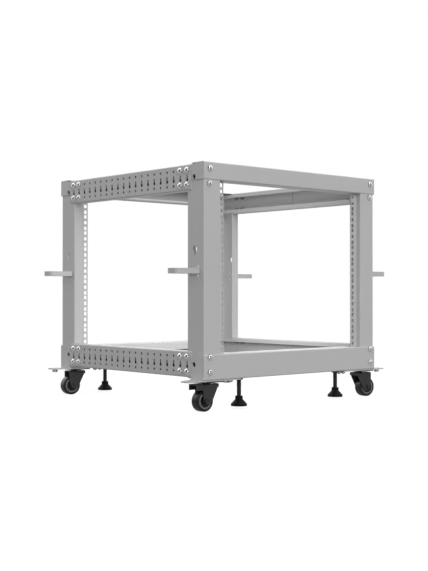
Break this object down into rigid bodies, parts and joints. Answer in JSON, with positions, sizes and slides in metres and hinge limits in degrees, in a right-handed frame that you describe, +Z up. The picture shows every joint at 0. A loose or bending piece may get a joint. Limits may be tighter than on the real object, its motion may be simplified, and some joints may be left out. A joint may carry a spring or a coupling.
{
  "type": "four post open frame rack",
  "caption": "Open frame equipment rack bent from sheet steel: four posts with square holes, beams and slotted rails, on swivel casters with levelling feet.",
  "frame": {"origin": "on the floor under the middle of the rack", "axes": "+Z up, front towards -Y, the left side of someone who faces the front towards -X"},
  "size_m": [0.736, 0.5972, 0.5795],
  "materials": {
    "grey_paint": "matt powder coat",
    "dark_paint": "satin black",
    "black_paint": "satin black",
    "wheel_rubber": "smooth",
    "black_steel": "black oxide",
    "foot_plastic": "moulded"
  },
  "bodies": {
    "frame": {"front_left_post": "grey_paint", "front_left_bottom_inner_rail": "grey_paint", "front_left_top_inner_rail": "grey_paint", "front_left_cable_ring": "grey_paint", "front_left_corner_plate": "grey_paint", "front_left_caster_head": "black_paint", "front_right_post": "grey_paint", "front_right_bottom_inner_rail": "grey_paint", "front_right_top_inner_rail": "grey_paint", "front_right_cable_ring": "grey_paint", "front_right_corner_plate": "grey_paint", "front_right_caster_head": "black_paint", "rear_left_post": "grey_paint", "rear_left_bottom_inner_rail": "grey_paint", "rear_left_top_inner_rail": "grey_paint", "rear_left_cable_ring": "grey_paint", "rear_left_corner_plate": "grey_paint", "rear_left_caster_head": "black_paint", "rear_right_post": "grey_paint", "rear_right_bottom_inner_rail": "grey_paint", "rear_right_top_inner_rail": "grey_paint", "rear_right_cable_ring": "grey_paint", "rear_right_corner_plate": "grey_paint", "rear_right_caster_head": "black_paint", "front_top_beam": "grey_paint", "rear_top_beam": "grey_paint", "front_bottom_beam": "grey_paint", "rear_bottom_beam": "grey_paint", "left_top_rail": "grey_paint", "right_top_rail": "grey_paint", "left_bottom_rail": "grey_paint", "right_bottom_rail": "grey_paint"},
    "front_left_swivel": {"front_left_caster_fork": "dark_paint", "front_left_brake_lever": "dark_paint"},
    "front_left_wheel": {"front_left_caster_wheel": "wheel_rubber"},
    "front_left_foot": {"front_left_foot_stud": "black_steel", "front_left_foot_pad": "foot_plastic"},
    "front_right_swivel": {"front_right_caster_fork": "dark_paint"},
    "front_right_wheel": {"front_right_caster_wheel": "wheel_rubber"},
    "front_right_foot": {"front_right_foot_stud": "black_steel", "front_right_foot_pad": "foot_plastic"},
    "rear_left_swivel": {"rear_left_caster_fork": "dark_paint"},
    "rear_left_wheel": {"rear_left_caster_wheel": "wheel_rubber"},
    "rear_left_foot": {"rear_left_foot_stud": "black_steel", "rear_left_foot_pad": "foot_plastic"},
    "rear_right_swivel": {"rear_right_caster_fork": "dark_paint", "rear_right_brake_lever": "dark_paint"},
    "rear_right_wheel": {"rear_right_caster_wheel": "wheel_rubber"},
    "rear_right_foot": {"rear_right_foot_stud": "black_steel", "rear_right_foot_pad": "foot_plastic"}
  },
  "joints": [
    {"name": "front_left_caster_swivel", "type": "hinge", "parent": "frame", "child": "front_left_swivel", "pos_m": [-0.267, -0.275, 0.06], "axis": [0, 0, 1], "continuous": true},
    {"name": "front_left_wheel_spin", "type": "hinge", "parent": "front_left_swivel", "child": "front_left_wheel", "pos_m": [-0.2845, -0.275, 0.025], "axis": [0, -1, 0], "continuous": true},
    {"name": "front_left_foot_slide", "type": "slide", "parent": "frame", "child": "front_left_foot", "axis": [0, 0, 1], "range_m": [-0.005, 0.03]},
    {"name": "front_right_caster_swivel", "type": "hinge", "parent": "frame", "child": "front_right_swivel", "pos_m": [0.267, -0.275, 0.06], "axis": [0, 0, 1], "continuous": true},
    {"name": "front_right_wheel_spin", "type": "hinge", "parent": "front_right_swivel", "child": "front_right_wheel", "pos_m": [0.28433, -0.27744, 0.025], "axis": [0.1392, 0.9903, 0], "continuous": true},
    {"name": "front_right_foot_slide", "type": "slide", "parent": "frame", "child": "front_right_foot", "axis": [0, 0, 1], "range_m": [-0.005, 0.03]},
    {"name": "rear_left_caster_swivel", "type": "hinge", "parent": "frame", "child": "rear_left_swivel", "pos_m": [-0.267, 0.275, 0.06], "axis": [0, 0, 1], "continuous": true},
    {"name": "rear_left_wheel_spin", "type": "hinge", "parent": "rear_left_swivel", "child": "rear_left_wheel", "pos_m": [-0.2844, 0.27683, 0.025], "axis": [-0.1045, -0.9945, 0], "continuous": true},
    {"name": "rear_left_foot_slide", "type": "slide", "parent": "frame", "child": "rear_left_foot", "axis": [0, 0, 1], "range_m": [-0.005, 0.03]},
    {"name": "rear_right_caster_swivel", "type": "hinge", "parent": "frame", "child": "rear_right_swivel", "pos_m": [0.267, 0.275, 0.06], "axis": [0, 0, 1], "continuous": true},
    {"name": "rear_right_wheel_spin", "type": "hinge", "parent": "rear_right_swivel", "child": "rear_right_wheel", "pos_m": [0.2845, 0.275, 0.025], "axis": [0, 1, 0], "continuous": true},
    {"name": "rear_right_foot_slide", "type": "slide", "parent": "frame", "child": "rear_right_foot", "axis": [0, 0, 1], "range_m": [-0.005, 0.03]}
  ]
}
